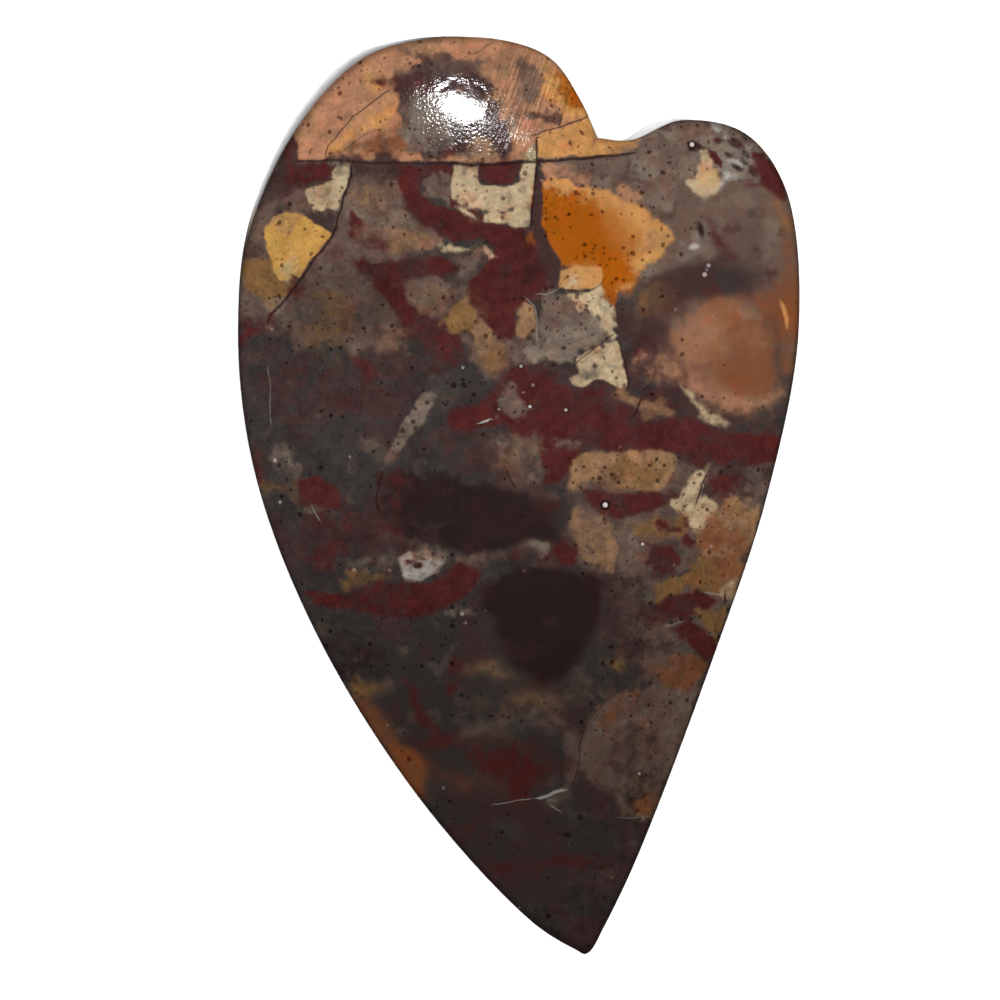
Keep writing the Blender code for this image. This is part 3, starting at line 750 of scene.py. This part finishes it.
# Single dark dots: (x, y and radius in pixels)
DARK_DOTS = (
    (427, 402, 2.2), (415, 408, 2.2), (413, 421, 2.6), (402.5, 430, 2.6), (398, 443, 1.8), (279, 464, 2.4),
    (581, 820, 3.4), (568, 837, 3.4), (700.5, 475.5, 2.2), (694.5, 484, 1.6), (685, 507.5, 1.6),
    (708, 511, 1.8), (584, 467, 1.8), (605, 468, 2.2), (600, 478.5, 2.6), (612, 475, 2), (619, 483, 2),
    (650, 466, 1.8), (657, 460, 2), (665, 466, 1.8), (658, 481.5, 2.2), (581, 488, 1.6),
    (672, 624, 2.2), (682, 620, 2.4), (692, 621, 2), (701, 618, 1.8),
)
DOT_STRENGTH = 0.75

# Farther than this from the edge of a fleck or a dot, in pixels, nothing of it shows.
FLECK_MARGIN = 2.7

# Places where the stone is smooth and translucent, with little grain, as ovals, and the half width of
# their soft edges in millimetres
SMOOTH_PLACES = (
    (735, 300, 85, 125, 0),
    (600, 232, 62, 42, 40),
    (520, 515, 70, 36, 0),
    (550, 625, 60, 60, 0),
    (470, 780, 130, 150, 0),
)
SMOOTHNESS = 0.75
SMOOTH_FADE = 1.0

# Where no pepper dots lie, as an oval
DOTLESS = (752, 272, 60, 100, 0)

# One place is darker than its minerals: an oval, its tone, and the softness and raggedness of its edge
SHADED = (345, 300, 55, 40, 20)
SHADED_TONE = 0.75
SHADED_EDGE = (1.0, 0.2)

# Round the lamp's reflection the polish is uneven and glitters, but not in the reflection's core.
# Beside it the polish is scratched.
GLITTER = (460, 122, 70, 46, -10)
CORE = (462, 102.5, 27, 20, -10)
SCRATCHED = (530, 96, 34, 44, 0)
SCRATCH_DEGREES = 67.0

# Painted shade of the rounded rim: the top darkens to this share in the last of its way to the rim.
RIM_DARKENS_AT = 0.982
RIM_PAINTED_SHADE = 0.5

# The wall looks frosted. It is palest where it faces these stretches, in degrees from +X about the
# dome's centre, where a painted reflection of the pale floor whitens it, with its share of pale stone
# there and elsewhere. The third value is how strong that painted reflection is at the wall's top; at
# its foot it is 1.
PALE_STRETCHES = ((104.0, 146.0, 0.0), (56.0, 72.0, 0.7))
PALE_FADE_DEGREES = 6.0
PALE_SHARE = 1.0
FROSTED_SHARE = 0.15

# What lies lower than this, in millimetres, is wall or back.
TOP_STARTS = WALL_TOP - 0.01

# Where the pattern under each point of the wall and the back is taken from: it moves sideways by
# this many millimetres for each millimetre below the wall's top.
SLANT = np.array((1.6, -2.3))

# The noises that move the edges of markings: (size of their lumps in mm, seeds). Wander and fray have a
# seed for each direction, and crumbs and billows move an edge in or out.
WANDER = (1.5, 11, 17)
FRAY = (0.6, 23, 29)
CRUMBS = (0.32, 31)
BILLOWS = (0.9, 37)

# How far they move it, as shares of its raggedness and of its softness. The fray moves it by its whole
# raggedness, and the billows only by a share of its softness.
WANDER_SHARES = (0.5, 0.25)
CRUMB_SHARES = (0.9, 0.1)
BILLOW_SHARE = 0.6

# How far outside a marking points are still looked at: in softnesses, in raggednesses and in mm
MARGINS = (2, 3, 0.2)

# How far the fray moves clouds and lines, in millimetres
CLOUD_FRAY = 0.2
LINE_FRAY = 0.05

# A line has its strength up to the second distance from its middle, in mm, and none from the first.
# Its distance is kept up to this many half widths.
LINE_FADE = (0.3, 0.2)
FARTHEST = 9.0


def as_seen(points):
    """Where the camera sees each point of the top, as a place at the height of the wall's top."""
    above = np.maximum(0.0, points[:, 2:] - WALL_TOP)
    middle = np.array(PICTURE_CENTRE[:2])
    facing = math.radians(CAMERA_FACING)
    lean = -math.tan(math.radians(CAMERA_TILT)) * np.array((math.cos(facing), math.sin(facing)))
    return middle + (points[:, :2] - middle) * (1 + above / CAMERA_DISTANCE) + above * lean


class Canvas:
    """How much of each mineral shows at each point of the stone."""

    def __init__(self, points):
        depth = np.maximum(0.0, WALL_TOP - points[:, 2:])
        self.flat = as_seen(points) + depth * SLANT
        inside = np.max([oval_distance(self.flat, place) for place in SMOOTH_PLACES], axis=0)
        self.coarse = 1 - SMOOTHNESS * rise(inside, -SMOOTH_FADE, SMOOTH_FADE)
        self.wander = self.noise(*WANDER)
        self.fray = self.noise(*FRAY)
        self.crumbs = self.noise(*CRUMBS)[:, 0]
        self.billows = self.noise(*BILLOWS)[:, 0]
        self.shares = {name: np.zeros(len(points)) for name in MINERALS}
        self.shares["slate"] += 1.0

    def noise(self, cell, *seeds):
        return np.column_stack([clouds(self.flat, cell, seed) for seed in seeds]) * self.coarse[:, None]

    def cover(self, shape, soft, ragged):
        """How far each point lies inside an outline or an oval, from 0 to 1."""
        is_oval = len(shape) == 5
        corners = box_of_oval(shape) if is_oval else corners_of(shape)
        margin = np.dot(MARGINS, (soft, ragged, 1.0))
        low, high = corners.min(axis=0) - margin, corners.max(axis=0) + margin
        near = ((self.flat > low) & (self.flat < high)).all(axis=1)

        wander = np.dot(WANDER_SHARES, (ragged, soft)) * self.wander[near]
        place = self.flat[near] + (ragged * self.fray[near] + wander)
        distance = oval_distance(place, shape) if is_oval else signed_distance(place, corners)
        distance += np.dot(CRUMB_SHARES, (ragged, soft)) * self.crumbs[near]
        distance += BILLOW_SHARE * soft * self.billows[near]
        amount = np.zeros(len(self.flat))
        amount[near] = rise(distance, -soft, soft)
        return amount

    def lay(self, mineral, amount):
        for share in self.shares.values():
            share *= 1 - amount
        self.shares[mineral] += amount

    def cloud_over(self, host, guest, cell, seed, threshold, soft, amount):
        """Turns part of one mineral into another, in clouds about one cell wide."""
        pattern = clouds(self.flat + CLOUD_FRAY * self.fray, cell, seed)
        moved = self.shares[host] * amount * rise(pattern, threshold - soft, threshold + soft)
        self.shares[host] -= moved
        self.shares[guest] += moved

    def lines(self, lines):
        """Signed distance to the nearest line in its half widths, and that line's strength here."""
        best = np.full(len(self.flat), np.inf)
        signed = np.full(len(self.flat), FARTHEST)
        strength = np.zeros(len(self.flat))
        place = self.flat + LINE_FRAY * self.fray
        fade_start, fade_end = (-distance for distance in LINE_FADE)
        for width, strong, *pixels in lines:
            corners = corners_of(pixels)
            for a, b in zip(corners, corners[1:]):
                away = segment_distance(place, a, b)
                edge, offset = b - a, place - a
                side = np.sign(edge[0] * offset[:, 1] - edge[1] * offset[:, 0])
                closer = away < best
                best = np.where(closer, away, best)
                signed = np.where(closer, side * away / (width / 2), signed)
                strength = np.where(closer, strong * rise(-away, fade_start, fade_end), strength)
        return np.clip(signed, -FARTHEST, FARTHEST), strength

    def flecks(self):
        """The way to the nearest fleck in pixels, with its radius, its ring's radius and its strength.

        A dark dot is a ring round nothing: the fleck in it has a radius below 0.
        """
        dots = ((x, y, -1.0, radius, DOT_STRENGTH) for x, y, radius in DARK_DOTS)
        best = np.full(len(self.flat), np.inf)
        found = np.zeros((len(self.flat), 5))
        for x, y, radius, ring, strength in (*FLECKS, *dots):
            offset = (self.flat - from_pixels((x, y))) / MM_PER_PIXEL
            away = np.linalg.norm(offset, axis=1)
            closer = away < best
            best = np.where(closer, away, best)
            found[closer, :2] = offset[closer]
            found[closer, 2:] = (radius, ring, strength)
        found[best > found[:, 2:4].max(axis=1) + FLECK_MARGIN, 4] = 0.0
        names = ("fleck_x", "fleck_y", "fleck_radius", "fleck_ring", "fleck_strength")
        return dict(zip(names, found.T))


def painted_rim_shade(points):
    """How much painted shade darkens the top beside its rounded rim."""
    shares = dome_shares(points[:, :2], heart_outline())
    return 1 - (1 - RIM_PAINTED_SHADE) * rise(shares, RIM_DARKENS_AT, 1.0) * (points[:, 2] >= TOP_STARTS)


def frost_and_floor_reflection(points):
    """The share of pale, frosted stone in each point of the wall, and how strong the painted reflection of
    the pale floor is there.
    """
    facing = np.degrees(bearings(points[:, :2])[0])
    pale = np.full(len(points), FROSTED_SHARE)
    painted_floor_reflection = np.zeros(len(points))
    for first, last, top_white in PALE_STRETCHES:
        inside = np.minimum(facing - first, last - facing)
        stretch = rise(inside, -PALE_FADE_DEGREES, PALE_FADE_DEGREES)
        pale += (PALE_SHARE - FROSTED_SHARE) * stretch
        painted_floor_reflection += (1 - (1 - top_white) * rise(points[:, 2], 0.0, WALL_TOP)) * stretch
    on_wall = (points[:, 2] < TOP_STARTS) & (points[:, 2] > 0.0)
    return pale * on_wall, painted_floor_reflection


def paint(points):
    """Every attribute of the stone's surface, as {name: a value for each point}."""
    canvas = Canvas(points)
    for mineral, (soft, ragged), strength, *shape in PATCHES:
        canvas.lay(mineral, strength * canvas.cover(shape, soft, ragged))
    for change in CLOUDINGS:
        canvas.cloud_over(*change)
    values = dict(canvas.shares)
    values["dots"] = sum(canvas.shares[name] * density for name, density in DOTTED.items())
    values["dots"] *= 1 - canvas.cover(DOTLESS, *HAZY)
    height = PHOTO_MIDDLE[1] - canvas.flat[:, 1] / MM_PER_PIXEL
    # The tone carries painted shade: darker towards the point where the light falls off, besides the
    # stone's own darkening, and darker beside the rounded rim
    values["tone"] = np.interp(height, TONE_AT, TONES_WITH_PAINTED_SHADE) * painted_rim_shade(points)
    values["tone"] *= 1 + (SHADED_TONE - 1) * canvas.cover(SHADED, *SHADED_EDGE)
    values["dark_line"], values["dark_line_strength"] = canvas.lines(DARK_LINES)
    values["pale_line"], values["pale_line_strength"] = canvas.lines(PALE_LINES)
    values["coarse"] = canvas.coarse
    values["scratched"] = canvas.cover(SCRATCHED, *HAZY)
    values["glitter"] = canvas.cover(GLITTER, *HAZY) * (1 - canvas.cover(CORE, *RAGGED))
    # Frost on the wall, and the painted reflection of the pale floor on it
    values["pale"], values["painted_floor_reflection"] = frost_and_floor_reflection(points)
    values.update(canvas.flecks())
    return values


# Materials

# Where a noise becomes something else, four numbers say how: two of its values, and what they become.

# How much lighter the light shows the stone than its own colour
LIGHT_ON_STONE = 2.2

# The grain of the stone: (noise scale per mm, detail, roughness), and how strongly it decides which
# of the mixed minerals shows
GRAIN = (1.9, 5.0, 0.6)
CRUMBLE = 8.0

# Lighter and darker mottles: (noise scale per mm, how strongly its lumps change the tone), and the
# detail and roughness of the noise
MOTTLES = ((0.7, 0.9), (2.1, 1.1), (6.5, 0.8))
MOTTLE_NOISE = (4.0, 0.65)

# Faint stains: (noise scale per mm, strength, tint), the detail and roughness of the noise, and the
# values between which it turns into stain
STAINS = (
    (0.9, 0.5, (1.28, 0.8, 0.77)),
    (1.2, 0.65, (0.8, 1.04, 0.97)),
)
STAIN_NOISE = (5.0, 0.6)
STAINED_BETWEEN = (0.52, 0.72)

# Pepper dots: (cells per mm, smallest radius and spread of radii in cells, strength)
PEPPER = (
    (2.1, 0.14, 0.13, 0.8),
    (3.6, 0.15, 0.16, 0.65),
)
PEPPER_TINT = (0.2, 0.15, 0.15)

# A noise, (scale per mm, detail), stirs the dots by this many millimetres, and another one makes
# clusters of them: it becomes a factor of how thickly they lie.
STIR_NOISE = (5.0, 2.0)
STIR = 0.16
CLUSTER_NOISE = (0.45, 2.0)
CLUSTERS = (0.35, 0.65, 0.35, 1.5)

# Pale dots: (cells per mm, share of the cells, smallest radius and spread of radii in cells)
PALE_DOTS = (1.1, 0.12, 0.05, 0.03)
PALE_DOT_COLOUR = (150, 125, 118)

FLECK_WHITE = (215, 205, 200)
RING_BLACK = (36, 26, 26)
DARK_LINE_COLOUR = (46, 26, 26)
PALE_LINE_COLOUR = (165, 165, 155)

# The soft edges of a speck in cells, of a fleck in pixels, and of a line in half widths
SPECK_EDGE = (-0.07, 0.07)
FLECK_EDGE = (-0.7, 0.7)
LINE_EDGE = (0.5, 1.6)

# Scratches per mm across them and along them, their noise, what it becomes, and how it changes the
# tone, which paints the scratches' shade and glints as darker and lighter stripes
SCRATCHES_ACROSS = 7.0
SCRATCHES_ALONG = 0.5
SCRATCH_NOISE = (1.0, 3.0, 0.6)
SCRATCH_DEPTHS = (0.36, 0.64, -0.5, 0.5)
SCRATCH_PAINTED_SHADE = -0.7

# The frosted stone's reflectance where it is dull and where the painted reflection of the pale floor
# whitens it, and its streaks: (noise scale per mm, detail, roughness), and what the noise becomes
FROST_DULL = (0.15, 0.15, 0.155, 1.0)
PAINTED_REFLECTION_WHITE = (0.7, 0.7, 0.71, 1.0)
STREAK_NOISE = (1.8, 4.0, 0.65)
STREAKS = (0.35, 0.65, 0.85, 1.05)

# The polish: its refraction, the noise of its roughness, (scale per mm, detail), and what that becomes,
# what frost adds to it, and the share that glitter adds
REFRACTION = 1.54
POLISH_NOISE = (2.0, 3.0)
ROUGHNESS = (0.3, 0.7, 0.05, 0.09)
FROST_ROUGHNESS = 0.35
GLITTER_ROUGHNESS = 0.7

# How uneven the polish is: (noise scale per mm, height in mm), with the noise's detail. Sparks show
# where it glitters.
UNEVENNESS = ((2.0, 0.005), (9.0, 0.001))
UNEVEN_DETAIL = 2.0
SPARK_NOISE = (7.0, 1.0)
SPARK_HEIGHT = 0.013
SCRATCH_HEIGHT = 0.02

# The floor: (noise scale per mm, detail), its lightness and roughness, and the height of its bumps
FLOOR_NOISE = (0.8, 3.0)
FLOOR_SHADES = (0.3, 0.7, 0.93, 0.95)
FLOOR_ROUGHNESS = (0.3, 0.7, 0.7, 0.8)
FLOOR_BUMP = 0.02


def linear(display):
    """A colour of 255 as it shows in the photograph, as the stone's own linear colour."""
    share = np.array(display) / 255.0
    straight = np.where(share <= 0.04045, share / 12.92, ((share + 0.055) / 1.055) ** 2.4)
    return tuple(straight / LIGHT_ON_STONE)


class Graph:
    """Builds one material's nodes."""

    def __init__(self, name):
        self.material = bpy.data.materials.new(name)
        self.material.use_nodes = True
        self.tree = self.material.node_tree
        self.shader = self.tree.nodes["Principled BSDF"]

    def put(self, socket, value):
        if isinstance(value, bpy.types.NodeSocket):
            self.tree.links.new(value, socket)
        elif value is not None:
            socket.default_value = value

    def shade(self, **inputs):
        """Gives inputs of the material's shader their values."""
        for name, value in inputs.items():
            self.put(self.shader.inputs[name.replace("_", " ")], value)

    def node(self, kind, inputs, **settings):
        made = self.tree.nodes.new("ShaderNode" + kind)
        for key, value in settings.items():
            setattr(made, key, value)
        for key, value in inputs.items():
            self.put(made.inputs[key], value)
        return made

    def math(self, operation, a, b=None, c=None):
        return self.node("Math", {0: a, 1: b, 2: c}, operation=operation).outputs[0]

    def times(self, a, b):
        return self.math("MULTIPLY", a, b)

    def times_plus(self, a, b, c):
        return self.math("MULTIPLY_ADD", a, b, c)

    def vectors(self, operation, a, b, result=0):
        return self.node("VectorMath", {0: a, 1: b}, operation=operation).outputs[result]

    def scaled(self, vector, factor):
        return self.node("VectorMath", {0: vector, "Scale": factor}, operation="SCALE").outputs[0]

    def attribute(self, name):
        return self.node("Attribute", {}, attribute_name=name).outputs["Fac"]

    def noise(self, where, scale, detail, roughness=0.5, result="Fac"):
        inputs = {"Vector": where, "Scale": scale, "Detail": detail, "Roughness": roughness}
        return self.node("TexNoise", inputs).outputs[result]

    def mapped(self, value, low, high, to_low=0.0, to_high=1.0):
        inputs = {"Value": value, "From Min": low, "From Max": high, "To Min": to_low, "To Max": to_high}
        return self.node("MapRange", inputs, interpolation_type="SMOOTHSTEP").outputs["Result"]

    def mixed(self, factor, a, b):
        return self.node("Mix", {0: factor, 6: a, 7: b}, data_type="RGBA").outputs[2]

    def covered(self, factor, colour, display):
        """The colour with another over it, given as a colour of 255."""
        return self.mixed(factor, colour, (*linear(display), 1.0))

    def specks(self, where, scale, density, smallest, spread):
        """Round specks in some of the cells, from 0 to 1, with radii given in cells."""
        cells = self.node("TexVoronoi", {"Vector": where, "Scale": scale, "Randomness": 1.0})
        chance = self.node("SeparateColor", {"Color": cells.outputs["Color"]})
        there = self.math("LESS_THAN", chance.outputs["Red"], density)
        radius = self.times_plus(chance.outputs["Green"], spread, smallest)
        inside = self.math("SUBTRACT", radius, cells.outputs["Distance"])
        return self.times(self.mapped(inside, *SPECK_EDGE), there)

    def millimetres(self):
        return self.scaled(self.node("TexCoord", {}).outputs["Object"], 1 / MM)

    def bump(self, height, distance, strength=1.0, before=None):
        inputs = {"Height": height, "Distance": distance * MM, "Strength": strength, "Normal": before}
        return self.node("Bump", inputs).outputs["Normal"]


def mineral_sum(graph, where):
    """The minerals' colours, weighted by their shares and by the grain of the stone."""
    grain = graph.vectors("SUBTRACT", graph.noise(where, *GRAIN, "Color"), (0.5, 0.5, 0.5))
    grain = graph.scaled(grain, graph.attribute("coarse"))
    colour, weights = (0.0, 0.0, 0.0), 0.0
    for name, (display, leaning) in MINERALS.items():
        lean = graph.vectors("DOT_PRODUCT", grain, leaning, "Value")
        favour = graph.math("POWER", 2.0, graph.times(lean, CRUMBLE))
        weight = graph.times(graph.math("POWER", graph.attribute(name), 2.0), favour)
        colour = graph.vectors("ADD", colour, graph.scaled(linear(display), weight))
        weights = graph.math("ADD", weights, weight)
    return graph.scaled(colour, graph.math("DIVIDE", 1.0, weights))


def stained(graph, where, colour):
    for scale, strength, tint in STAINS:
        stain = graph.mapped(graph.noise(where, scale, *STAIN_NOISE), *STAINED_BETWEEN, 0.0, strength)
        colour = graph.mixed(stain, colour, graph.vectors("MULTIPLY", colour, tint))
    return colour


def peppered(graph, where, colour):
    stir = graph.noise(where, *STIR_NOISE, result="Color")
    where = graph.vectors("ADD", where, graph.scaled(stir, STIR))
    clusters = graph.mapped(graph.noise(where, *CLUSTER_NOISE), *CLUSTERS)
    density = graph.times(graph.attribute("dots"), clusters)
    for scale, smallest, spread, strength in PEPPER:
        spots = graph.specks(where, scale, density, smallest, spread)
        darker = graph.vectors("MULTIPLY", colour, PEPPER_TINT)
        colour = graph.mixed(graph.times(spots, strength), colour, darker)
    return graph.covered(graph.specks(where, *PALE_DOTS), colour, PALE_DOT_COLOUR)


def veined(graph, colour):
    for name, display in (("dark_line", DARK_LINE_COLOUR), ("pale_line", PALE_LINE_COLOUR)):
        away = graph.math("ABSOLUTE", graph.attribute(name))
        line = graph.mapped(away, *LINE_EDGE, 1.0, 0.0)
        line = graph.times(line, graph.attribute(name + "_strength"))
        colour = graph.covered(line, colour, display)
    return colour


def flecked(graph, colour):
    """The placed white flecks, each in its dark ring."""
    offset = {"X": graph.attribute("fleck_x"), "Y": graph.attribute("fleck_y")}
    offset = graph.node("CombineXYZ", offset).outputs[0]
    away = graph.node("VectorMath", {0: offset}, operation="LENGTH").outputs["Value"]
    strength = graph.attribute("fleck_strength")
    for name, display in (("fleck_ring", RING_BLACK), ("fleck_radius", FLECK_WHITE)):
        inside = graph.math("SUBTRACT", graph.attribute(name), away)
        spot = graph.times(graph.mapped(inside, *FLECK_EDGE), strength)
        colour = graph.covered(spot, colour, display)
    return colour


def mottled(graph, where, tone):
    for scale, amount in MOTTLES:
        lumps = graph.math("SUBTRACT", graph.noise(where, scale, *MOTTLE_NOISE), 0.5)
        lumps = graph.times(lumps, graph.attribute("coarse"))
        tone = graph.times(tone, graph.times_plus(lumps, amount, 1.0))
    return tone


def scratches(graph, where):
    """Fine straight scratches side by side, from -0.5 to 0.5."""
    turn = math.radians(SCRATCH_DEGREES)
    across = graph.vectors("DOT_PRODUCT", where, (math.sin(turn), -math.cos(turn), 0), "Value")
    along = graph.vectors("DOT_PRODUCT", where, (math.cos(turn), math.sin(turn), 0), "Value")
    steps = {"X": graph.times(across, SCRATCHES_ACROSS), "Y": graph.times(along, SCRATCHES_ALONG)}
    place = graph.node("CombineXYZ", steps).outputs[0]
    strokes = graph.mapped(graph.noise(place, *SCRATCH_NOISE), *SCRATCH_DEPTHS)
    return graph.times(strokes, graph.attribute("scratched"))


def roughness(graph, where, frosted):
    rough = graph.mapped(graph.noise(where, *POLISH_NOISE), *ROUGHNESS)
    rough = graph.times_plus(frosted, FROST_ROUGHNESS, rough)
    return graph.times(rough, graph.times_plus(graph.attribute("glitter"), GLITTER_ROUGHNESS, 1.0))


def unevenness(graph, where, strokes):
    """The small unevenness of the polish, with sparks and scratches."""
    normal = None
    for scale, height in UNEVENNESS:
        normal = graph.bump(graph.noise(where, scale, UNEVEN_DETAIL), height, before=normal)
    sparks = graph.times(graph.noise(where, *SPARK_NOISE), graph.attribute("glitter"))
    normal = graph.bump(sparks, SPARK_HEIGHT, before=normal)
    return graph.bump(strokes, SCRATCH_HEIGHT, before=normal)


def jasper():
    graph = Graph("polished_jasper")
    where = graph.millimetres()
    colour = mineral_sum(graph, where)
    colour = stained(graph, where, colour)
    colour = peppered(graph, where, colour)
    colour = veined(graph, colour)
    colour = flecked(graph, colour)

    strokes = scratches(graph, where)
    tone = mottled(graph, where, graph.attribute("tone"))
    # Painted shade and glints of the scratches, as darker and lighter stripes in the colour
    tone = graph.times(tone, graph.times_plus(strokes, SCRATCH_PAINTED_SHADE, 1.0))
    colour = graph.scaled(colour, tone)

    streaks = graph.mapped(graph.noise(where, *STREAK_NOISE), *STREAKS)
    frosted = graph.times(graph.attribute("pale"), streaks)
    # The frost, whitened by the painted reflection of the pale floor
    pale = graph.mixed(graph.attribute("painted_floor_reflection"), FROST_DULL, PAINTED_REFLECTION_WHITE)
    graph.shader.inputs["IOR"].default_value = REFRACTION
    graph.shade(
        Base_Color=graph.mixed(frosted, colour, pale),
        Roughness=roughness(graph, where, frosted),
        Normal=unevenness(graph, where, strokes),
    )
    return graph.material


def floor_material():
    graph = Graph("pale_floor")
    grain = graph.noise(graph.millimetres(), *FLOOR_NOISE)
    graph.shade(
        Base_Color=graph.scaled((1.0, 1.0, 1.0), graph.mapped(grain, *FLOOR_SHADES)),
        Roughness=graph.mapped(grain, *FLOOR_ROUGHNESS),
        Normal=graph.bump(grain, FLOOR_BUMP, 0.5),
    )
    return graph.material


# Objects

FLOOR_HALF_WIDTH = 1500.0


def new_object(name, data):
    made = bpy.data.objects.new(name, data)
    bpy.context.scene.collection.objects.link(made)
    return made


def build_stone():
    points, faces = stone_mesh()
    low, high = (np.array(corner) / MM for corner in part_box("jasper_heart"))
    middle, half = (low + high) / 2, (high - low) / 2
    own_low, own_high = points.min(axis=0), points.max(axis=0)
    own_middle, own_half = (own_low + own_high) / 2, (own_high - own_low) / 2
    points = middle + (points - own_middle) * half / own_half

    mesh = bpy.data.meshes.new("jasper_heart_polished")
    mesh.from_pydata(points * MM, [], faces)
    for name, values in paint(points).items():
        attribute = mesh.attributes.new(name, "FLOAT", "POINT")
        attribute.data.foreach_set("value", values.astype(np.float32))
    mesh.shade_smooth()
    mesh.set_sharp_from_angle(angle=math.radians(SMOOTH_BELOW_DEGREES))
    mesh.materials.append(jasper())
    stone = new_object("jasper_heart_polished", mesh)
    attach(stone, "root")
    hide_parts("jasper_heart")


def build_floor():
    signs = ((-1, -1), (1, -1), (1, 1), (-1, 1))
    corners = [(x * FLOOR_HALF_WIDTH * MM, y * FLOOR_HALF_WIDTH * MM, 0.0) for x, y in signs]
    mesh = bpy.data.meshes.new("floor")
    mesh.from_pydata(corners, [], [(0, 1, 2, 3)])
    mesh.materials.append(floor_material())
    floor = new_object("floor", mesh)
    floor.visible_glossy = False


# Camera and light, in millimetres. A tilt is measured from straight up, a facing from +X, in degrees.

CAMERA_DISTANCE = 500.0
CAMERA_TILT = 6.0
CAMERA_FACING = 130.0
SENSOR_WIDTH = 36.0
NEAREST_SEEN = 10.0
PICTURE_WIDTH = 47.77
PICTURE_CENTRE = Vector((-0.92, -0.12, 2.2))

LAMP_DISTANCE = 400.0
LAMP_TILT = 39.3
LAMP_FACING = 91.3
LAMP_WIDTH = 40.0
LAMP_HEIGHT = 34.0
LAMP_WATTS = 0.22
SKY_STRENGTH = 2.2


def direction(tilt, facing):
    tilt, facing = math.radians(tilt), math.radians(facing)
    return Vector((math.sin(tilt) * math.cos(facing), math.sin(tilt) * math.sin(facing), math.cos(tilt)))


def looking(place, target):
    """The matrix at a place that looks at a target, with +Y upwards in its picture."""
    back = (place - target).normalized()
    right = Vector((0, 1, 0)).cross(back).normalized()
    turn = Matrix((right, back.cross(right), back)).transposed().to_4x4()
    return Matrix.Translation(place) @ turn


def build_camera():
    data = bpy.data.cameras.new("camera")
    data.sensor_width = SENSOR_WIDTH
    data.lens = SENSOR_WIDTH * CAMERA_DISTANCE / PICTURE_WIDTH
    data.clip_start = NEAREST_SEEN * MM
    camera = new_object("camera", data)
    place = PICTURE_CENTRE + direction(CAMERA_TILT, CAMERA_FACING) * CAMERA_DISTANCE
    camera.matrix_world = looking(place * MM, PICTURE_CENTRE * MM)
    bpy.context.scene.camera = camera


def build_lights():
    data = bpy.data.lights.new("lamp", "AREA")
    data.shape = "ELLIPSE"
    data.size = LAMP_WIDTH * MM
    data.size_y = LAMP_HEIGHT * MM
    data.energy = LAMP_WATTS
    lamp = new_object("lamp", data)
    place = direction(LAMP_TILT, LAMP_FACING) * LAMP_DISTANCE
    lamp.matrix_world = looking(place * MM, Vector((0, 0, 0)))

    world = bpy.data.worlds.new("soft_sky")
    world.use_nodes = True
    sky = world.node_tree.nodes["Background"]
    sky.inputs["Strength"].default_value = SKY_STRENGTH
    sky.inputs["Color"].default_value = (1.0, 1.0, 1.0, 1.0)
    world.cycles_visibility.glossy = False
    bpy.context.scene.world = world


build_stone()
build_floor()
build_camera()
build_lights()
bpy.context.scene.view_settings.view_transform = "Standard"
